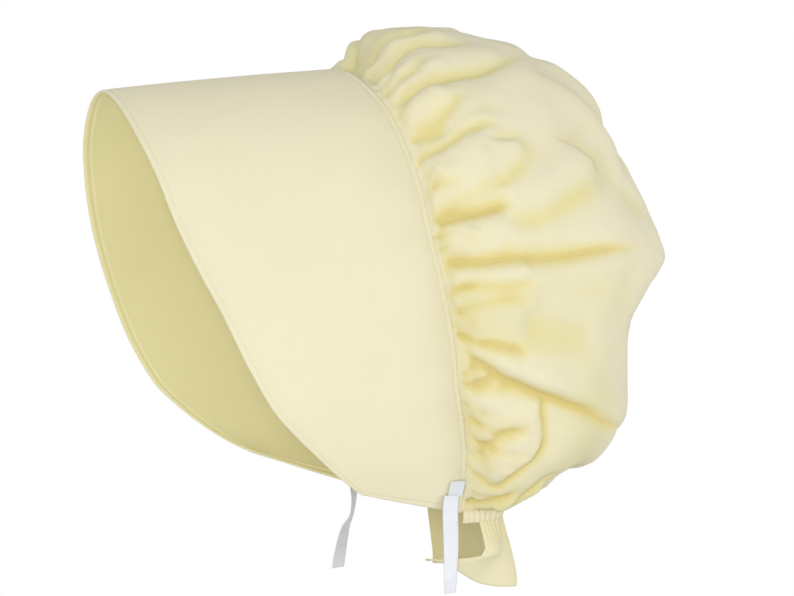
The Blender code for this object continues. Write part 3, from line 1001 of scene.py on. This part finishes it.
class Finish:
    """One material round a Principled BSDF."""

    def __init__(self, name, constants):
        self.material = bpy.data.materials.new(name)
        self.material.use_nodes = True
        self.tree = self.material.node_tree
        self.shader = self.tree.nodes["Principled BSDF"]
        for socket, value in constants.items():
            self.shader.inputs[socket].default_value = value

    def feed(self, socket, value):
        if isinstance(value, Value):
            self.tree.links.new(value.socket, socket)
        else:
            socket.default_value = value

    def node(self, kind, settings, sockets, output=0):
        """A node with its settings set first, then its sockets fed."""
        made = self.tree.nodes.new(kind)
        for key, value in settings.items():
            setattr(made, key, value)
        for key, value in sockets.items():
            self.feed(made.inputs[key], value)
        return Value(self, made.outputs[output])

    def mixed(self, first, second, share):
        """A colour between two."""
        return self.node("ShaderNodeMix", {"data_type": "RGBA"}, {0: share, 6: first, 7: second}, output=2)

    def noise(self, scale, detail):
        """Noise on the piece's own coordinates."""
        place = self.node("ShaderNodeTexCoord", {}, {}, output=3)
        return self.node("ShaderNodeTexNoise", {}, {"Vector": place, "Scale": scale, "Detail": detail})

    def mark(self, name):
        return self.node("ShaderNodeAttribute", {"attribute_name": name}, {}, output=2)

    def sine(self, value):
        return self.node("ShaderNodeMath", {"operation": "SINE"}, {0: value})

    def cut(self):
        return self.node("ShaderNodeUVMap", {"uv_map": "cut"}, {})

    def paint(self, colour, roughness, height, distance, strength):
        self.feed(self.shader.inputs["Base Color"], colour)
        self.feed(self.shader.inputs["Roughness"], roughness)
        relief = {"Height": height, "Distance": distance, "Strength": strength}
        self.feed(self.shader.inputs["Normal"], self.node("ShaderNodeBump", {}, relief))


def woven(finish, cut):
    """Height of a plain weave over a piece cut to a width and a length."""
    turns = [2 * math.pi * size / (2 * THREAD_PITCH) for size in cut]
    scaled = finish.node("ShaderNodeMapping", {}, {"Vector": finish.cut(), "Scale": (*turns, 1.0)})
    warp = finish.node("ShaderNodeSeparateXYZ", {}, {0: scaled}, output=0)
    weft = finish.node("ShaderNodeSeparateXYZ", {}, {0: scaled}, output=1)
    return finish.sine(warp) * finish.sine(weft)


def cotton(name, cut, creased=False, tones=(COTTON_PALE, COTTON_DEEP)):
    """Pale yellow cotton: soft tone changes, a plain weave and faint wrinkles; where creased, painted shade
    in its hollows and creases.
    """
    finish = Finish(name, {"Sheen Weight": 0.12, "Sheen Roughness": 0.5, "Specular IOR Level": 0.25})
    tone = finish.noise(scale=22.0, detail=3.0)
    colour = finish.mixed((*tones[0], 1), (*tones[1], 1), tone)
    if creased:
        # Painted shade: olive in the hollows, warm yellow bounce light in the creases, darker brown in the
        # deepest creases
        depth = finish.mark("crease")
        colour = finish.mixed(colour, (*HOLLOW_PAINTED_SHADE, 1), 0.9 * finish.mark("painted_hollow_shade"))
        colour = finish.mixed(colour, (*CREASE_PAINTED_SHADE, 1), 0.8 * depth)
        colour = finish.mixed(colour, (*DEEP_CREASE_PAINTED_SHADE, 1), 0.6 * depth * depth * depth)
    height = 0.12 * woven(finish, cut) + finish.noise(scale=70.0, detail=4.0)
    finish.paint(colour, roughness=0.80 + 0.12 * tone, height=height, distance=0.0006, strength=0.35)
    return finish.material


def satin():
    """White satin ribbon: fine ribs across, a soft sheen and faint crush marks."""
    sheen = {"Sheen Weight": 0.25, "Sheen Roughness": 0.3}
    finish = Finish("white_satin", {**sheen, "Specular IOR Level": 0.6, "Coat Weight": 0.15})
    along = finish.node("ShaderNodeSeparateXYZ", {}, {0: finish.cut()}, output=0)
    crush = finish.noise(scale=160.0, detail=2.0)
    colour = finish.mixed((*SATIN_WHITE, 1), (*SATIN_SHADE, 1), crush)
    height = 0.3 * finish.sine(along * RIB_TURNS) + crush
    finish.paint(colour, roughness=0.30 + 0.15 * crush, height=height, distance=0.0003, strength=0.3)
    return finish.material


def thread():
    finish = Finish("cotton_thread", {"Sheen Weight": 0.2})
    twist = finish.noise(scale=900.0, detail=1.0)
    colour = (*THREAD_COLOUR, 1)
    finish.paint(colour, roughness=0.6 + 0.2 * twist, height=twist, distance=0.0002, strength=0.4)
    return finish.material


def flat_grid(facets):
    """A flat grid over two shares with its cut as a UV map, and the two shares of its points."""
    bm = bmesh.new()
    bm.loops.layers.uv.new("cut")
    bmesh.ops.create_grid(bm, x_segments=facets[0], y_segments=facets[1], size=1.0, calc_uvs=True)
    shares = np.array([vert.co[:2] for vert in bm.verts]) / 2 + 0.5
    return bm, shares[:, 0], shares[:, 1]


def smooth_piece(name, bm, materials):
    mesh = finished_mesh(name, bm)
    mesh.shade_smooth()
    for material in materials:
        mesh.materials.append(material)
    return in_scene(name, mesh)


def sewn_piece(name, bm, points, wall, offset, materials, weights=None, marks=None):
    """A cloth piece from a grid whose vertices are moved to their points, with its wall from Solidify."""
    for vert, point in zip(bm.verts, points):
        vert.co = point
    for mark, values in (marks or {}).items():
        layer = bm.verts.layers.float.new(mark)
        for vert, value in zip(bm.verts, values):
            vert[layer] = value
    if weights is not None:
        deform = bm.verts.layers.deform.verify()
        for vert, weight in zip(bm.verts, weights):
            vert[deform][0] = float(weight)
    bmesh.ops.remove_doubles(bm, verts=bm.verts, dist=MERGE_DISTANCE)
    piece = smooth_piece(name, bm, materials)
    solid = piece.modifiers.new("wall", "SOLIDIFY")
    solid.thickness = wall
    solid.offset = offset
    solid.material_offset = len(materials) - 1
    if weights is not None:
        piece.vertex_groups.new(name="wall")
        solid.vertex_group = "wall"
    return piece


def make_brim():
    bm, around, across = flat_grid(BRIM_FACETS)
    station, share = brim_shares(around, across)
    # The inside face gets a deeper yellow copy of the cotton: painted shade and bounce light
    painted_shade_inside = cotton("brim_inside_painted_shade", BRIM_WEAVE, tones=(INSIDE_PAINTED_SHADE_PALE, INSIDE_PAINTED_SHADE_DEEP))
    finishes = (cotton("brim_cotton", BRIM_WEAVE), painted_shade_inside)
    weights = brim_wall(station, share)
    piece = sewn_piece("brim_cloth", bm, brim_point(station, share), BRIM_WALL, 0.0, finishes, weights)
    return piece


def make_crown():
    bm, around, across = flat_grid(CROWN_FACETS)
    station = NECK_END * (2 * around - 1)
    rise = across**CROWN_CROWDING
    points, shade = crown_point(station, rise, True)
    freed = np.clip(rise / FREED_RISE, 0, 1)[:, None]
    points += looked_up(crown_buckling(), around, across) * freed
    outward = unit(points - np.array(CROWN_MIDDLE))
    place = (points, around, across, outward)
    # Painted shade marks: crease shade from the fold tables and small valleys; hollow shade from broad
    # valleys, the soft shades and the creases near the top
    crease = np.clip(FOLD_MARK * shade + VALLEY_MARK * valleys(*place, *VALLEY), 0, 1)
    base, _ = crown_base(station, rise)
    top = np.clip(1 - np.abs(station) / OLIVE_REACH, 0, 1)
    dimming = valleys(*place, *HOLLOW) + shaded_share(base) + OLIVE_SHARE * crease * top
    painted_hollow_shade = 1 - np.exp(-HOLLOW_GAIN * dimming)
    crease *= 1 - OLIVE_SHARE * top
    marks = {"crease": crease, "painted_hollow_shade": painted_hollow_shade}
    finishes = (cotton("crown_cotton", CROWN_WEAVE, creased=True),)
    piece = sewn_piece("crown_cloth", bm, points, CROWN_WALL, -1.0, finishes, marks=marks)
    return piece


def make_casing():
    bm, around, down = flat_grid(CASING_FACETS)
    finishes = (cotton("casing_cotton", CASING_WEAVE, creased=True),)
    # Painted shade in the valleys of the puckers
    marks = {"crease": VALLEY_MARK * pleat_valleys(around, CASING_PUCKERS, CASING_SEED)}
    points = casing_point(around, down)
    piece = sewn_piece("casing_gathers", bm, points, CASING_WALL, 0.0, finishes, marks=marks)
    return piece


def make_ruffle():
    bm, around, down = flat_grid(RUFFLE_FACETS)
    # The inside face is a darker olive copy of the cotton: painted shade
    inner = cotton("ruffle_inside_painted_shade", RUFFLE_WEAVE, tones=(RUFFLE_INSIDE_PAINTED_SHADE, RUFFLE_INSIDE_PAINTED_SHADE))
    finishes = (inner, cotton("ruffle_cotton", RUFFLE_WEAVE, True, (RUFFLE_PALE, COTTON_DEEP)))
    # Painted shade in the pleats' valleys, fading down from the casing
    fade = np.exp(-((down / RUFFLE_CREASE_REACH) ** 2))
    marks = {"crease": fade * pleat_valleys(around, RUFFLE_PLEATS, RUFFLE_SEED)}
    points = ruffle_point(around, down)
    weights = ruffle_wall(around, down)
    piece = sewn_piece("ruffle_cloth", bm, points, RUFFLE_WALL, 0.0, finishes, weights, marks)
    return piece


def make_ribbon(name, rows, finish):
    bm, along, across = flat_grid(RIBBON_FACETS)
    weights = ribbon_wall(along, across)
    piece = sewn_piece(name, bm, ribbon_place(rows)(along, across), RIBBON_WALL, 0.0, (finish,), weights)
    return piece


def stitch_path():
    """Shares of the brim along its front and lower edges, in from the edge by the stitches' inset."""
    bottom = 1 - FRONT_STITCH_INSET / SEAM_LENGTH
    stations = np.linspace(bottom, -bottom, STITCH_STATIONS)
    front = np.column_stack([stations, 1 - FRONT_STITCH_INSET / brim_depth(stations)])
    rise = np.linspace(STITCH_START, 1, STITCH_RISES)
    left = np.column_stack([np.full(STITCH_RISES, bottom), rise * front[0, 1]])
    right = np.column_stack([np.full(STITCH_RISES, -bottom), rise[::-1] * front[-1, 1]])
    return np.vstack([left, front[1:-1], right])


def seam_path():
    stations = np.linspace(SEAM_ROW_END, -SEAM_ROW_END, STITCH_STATIONS)
    return np.column_stack([stations, SEAM_STITCH_INSET / brim_depth(stations)])


def one_stitch():
    """A stitch of its full length, lying along Z."""
    bm = bmesh.new()
    bmesh.ops.create_uvsphere(bm, u_segments=STITCH_SIDES, v_segments=STITCH_RINGS, radius=0.5)
    bmesh.ops.scale(bm, verts=bm.verts, vec=(STITCH_WIDTH, STITCH_WIDTH, STITCH_LENGTH))
    return finished_mesh("stitch", bm)


def stitch_row(bm, stitch, points, outs, lift):
    """One row of stitches along the points, lifted off the cloth's middle by the lift."""
    line = np.hstack([points, outs])
    count = int(line_length(points) / STITCH_PITCH)
    centres = at_share(line, (np.arange(count) + 0.5) / count)
    ends = at_share(line, (np.arange(count) + 0.6) / count)
    for centre, end in zip(centres, ends):
        along = Vector(end[:3] - centre[:3]).normalized()
        aside = along.cross(Vector(centre[3:])).normalized()
        out = aside.cross(along)
        turn = Matrix((aside, out, along)).transposed().to_4x4()
        place = Matrix.Translation(Vector(centre[:3]) + out * lift) @ turn
        stitch.transform(place)
        bm.from_mesh(stitch)
        stitch.transform(place.inverted())


def make_topstitching(material):
    bm = bmesh.new()
    stitch = one_stitch()
    for path in (stitch_path(), seam_path()):
        station, share = path.T
        points = brim_point(station, share)
        across = brim_point(station, share + SMALL_STEP) - brim_point(station, share - SMALL_STEP)
        along = np.gradient(points, axis=0)
        outs = unit(np.cross(across, along))
        outs *= np.sign((outs * brim_outward(points)).sum(-1))[:, None]
        lift = BRIM_WALL / 2 * (1 - STITCH_PINCH) + STITCH_WIDTH * STITCH_LIFT
        stitch_row(bm, stitch, points, outs, lift)
        stitch_row(bm, stitch, points, -outs, lift)
    return smooth_piece("brim_topstitching", bm, (material,))


def make_camera():
    azimuth = math.radians(CAMERA_AZIMUTH)
    elevation = math.radians(CAMERA_ELEVATION)
    camera = bpy.data.cameras.new("camera")
    camera.lens = LENS
    camera.sensor_width = SENSOR
    stand = in_scene("camera", camera)
    stand.location = CAMERA_PLACE
    stand.rotation_euler = (math.pi / 2 - elevation, 0, azimuth)
    bpy.context.scene.camera = stand


def make_lights():
    for number, (place, width, power) in enumerate(STUDIO_LIGHTS):
        lamp = bpy.data.lights.new(f"softbox_{number}", "AREA")
        lamp.shape = "DISK"
        lamp.size = width
        lamp.energy = power
        stand = in_scene(lamp.name, lamp)
        stand.location = place
        stand.rotation_euler = (Vector(place) - Vector(STUDIO_AIM)).to_track_quat("Z", "Y").to_euler()
    world = bpy.data.worlds.new("studio")
    world.use_nodes = True
    bpy.context.scene.world = world
    nodes = world.node_tree.nodes
    links = world.node_tree.links
    seen = nodes.new("ShaderNodeLightPath")
    blend = nodes.new("ShaderNodeMix")
    blend.inputs["A"].default_value = AMBIENT
    blend.inputs["B"].default_value = BACKDROP
    links.new(seen.outputs["Is Camera Ray"], blend.inputs["Factor"])
    links.new(blend.outputs["Result"], nodes["Background"].inputs["Strength"])
    nodes["Background"].inputs["Color"].default_value = (1, 1, 1, 1)


def make_floor():
    bm = bmesh.new()
    bmesh.ops.create_circle(bm, cap_ends=True, segments=96, radius=FLOOR_RADIUS)
    bmesh.ops.translate(bm, verts=bm.verts, vec=(0, 0, FLOOR_HEIGHT))
    floor = in_scene("floor", finished_mesh("floor", bm))
    finish = Finish("floor_paint", {"Roughness": 0.9, "Base Color": (*FLOOR_COLOUR, 1)})
    floor.data.materials.append(finish.material)


def main():
    bpy.context.scene.view_settings.view_transform = "Standard"
    make_camera()
    make_lights()
    make_floor()
    ribbon = satin()
    sewing = thread()
    pieces = (
        (make_brim(), "brim", "cotton"),
        (make_crown(), "crown", "cotton"),
        (make_casing(), "nape_casing", "cotton"),
        (make_ruffle(), "neck_ruffle", "cotton"),
        (make_ribbon("ribbon_left", LEFT_RIBBON, ribbon), "tie_left", "satin_ribbon"),
        (make_ribbon("ribbon_right", RIGHT_RIBBON, ribbon), "tie_right", "satin_ribbon"),
        (make_ribbon("ribbon_left_tack", LEFT_TACK, ribbon), None, "satin_ribbon"),
        (make_topstitching(sewing), None, "cotton"),
    )
    for piece, node, slot in pieces:
        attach(piece, "root")
        if node:
            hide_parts(node)


main()
